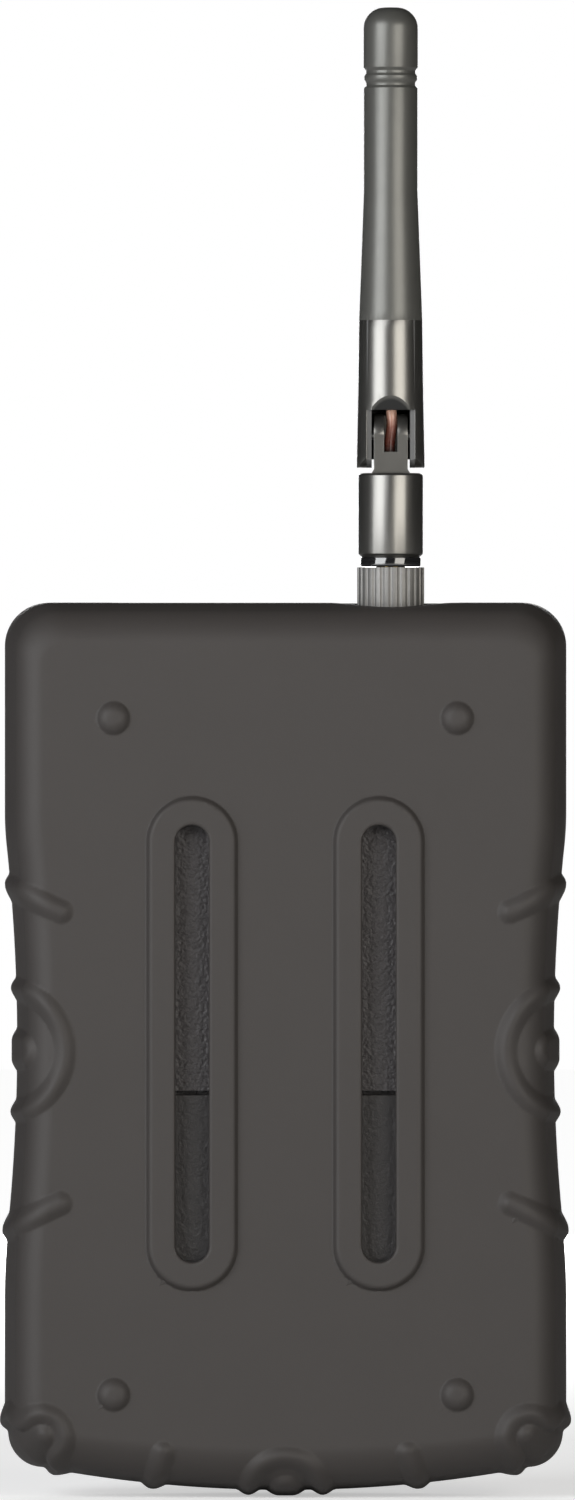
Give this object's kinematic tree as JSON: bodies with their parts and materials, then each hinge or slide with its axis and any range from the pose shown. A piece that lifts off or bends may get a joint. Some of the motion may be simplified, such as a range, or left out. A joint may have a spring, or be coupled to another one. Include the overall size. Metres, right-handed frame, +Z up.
{
  "type": "wireless guitar transmitter",
  "caption": "Hand-sized instrument radio transmitter in a ribbed rubber boot, with a folding whip antenna and an instrument jack on its top end.",
  "frame": {"origin": "middle of the footprint, on the floor that the boot's sole ribs stand on", "axes": "+Z up along the antenna, rear slotted face towards -Y, front keys towards +Y, +X to the right as the rear face is seen"},
  "size_m": [0.0886, 0.0342, 0.2306],
  "materials": {
    "boot": "matt",
    "case": "grained",
    "door": "satin",
    "panel": "satin",
    "overlay": "satin film",
    "steel": "satin",
    "board": "solder mask",
    "chip": "moulded",
    "tin": "tinned",
    "cell": "printed can",
    "cable": "jacket",
    "nickel": "satin nickel",
    "brass": "gold plated",
    "ptfe": "natural",
    "antenna_hard": "gloss",
    "antenna_soft": "satin",
    "collar": "high gloss",
    "coax_jacket": "translucent jacket",
    "slider": "matt",
    "mute_key": "soft touch",
    "channel_key": "soft touch",
    "lens": "clear",
    "led": "lens"
  },
  "bodies": {
    "transmitter": {"boot": "boot", "case_rear": "case", "case_front": "case", "battery_door": "door", "top_panel": "panel", "front_overlay": "overlay", "case_screws": "steel", "board_screws": "steel", "switch_screws": "steel", "main_board": "board", "board_chips": "chip", "rf_board": "board", "rf_shield": "tin", "pigtail_coax": "cable", "battery_cells": "cell", "battery_contacts": "tin", "contact_springs": "tin", "jack_body": "chip", "jack_bushing": "nickel", "jack_nut": "nickel", "jack_washer": "nickel", "jack_contacts": "tin", "power_switch_body": "chip", "antenna_jack": "brass", "antenna_jack_insulator": "ptfe", "antenna_jack_pin": "brass", "antenna_jack_nut": "brass", "antenna_jack_washer": "brass", "button_switches": "chip", "status_leds": "led", "light_pipes": "lens"},
    "antenna_nut": {"antenna_nut": "nickel"},
    "antenna_base": {"antenna_ferrule": "brass", "antenna_contact": "brass", "antenna_insulator": "ptfe", "antenna_collar": "collar", "antenna_knuckle": "antenna_hard", "antenna_coax": "coax_jacket"},
    "antenna_whip": {"hinge_pins": "steel", "antenna_fork": "antenna_hard", "antenna_sleeve": "antenna_soft", "antenna_element": "brass"},
    "power_slider": {"power_switch_slider": "slider"},
    "mute_key": {"mute_button": "mute_key", "mute_plunger": "chip"},
    "channel_key": {"channel_button": "channel_key", "channel_plunger": "chip"}
  },
  "joints": [
    {"name": "antenna_nut_turn", "type": "hinge", "parent": "transmitter", "child": "antenna_nut", "pos_m": [0.0163, 0.0006, 0.14], "axis": [0, 0, 1], "continuous": true},
    {"name": "antenna_swivel", "type": "hinge", "parent": "transmitter", "child": "antenna_base", "pos_m": [0.0163, 0.0006, 0.145], "axis": [0, 0, 1], "continuous": true},
    {"name": "antenna_tilt", "type": "hinge", "parent": "antenna_base", "child": "antenna_whip", "pos_m": [0.0163, 0.0006, 0.16435], "axis": [1, 0, 0], "range_deg": [0, 90], "deforming": ["antenna_coax"]},
    {"name": "power_slide", "type": "slide", "parent": "transmitter", "child": "power_slider", "axis": [1, 0, 0], "range_m": [0, 0.0035]},
    {"name": "mute_press", "type": "slide", "parent": "transmitter", "child": "mute_key", "axis": [0, -1, 0], "range_m": [0, 0.0005], "stiffness_N_per_m": 400},
    {"name": "channel_press", "type": "slide", "parent": "transmitter", "child": "channel_key", "axis": [0, -1, 0], "range_m": [0, 0.0005], "stiffness_N_per_m": 400}
  ]
}
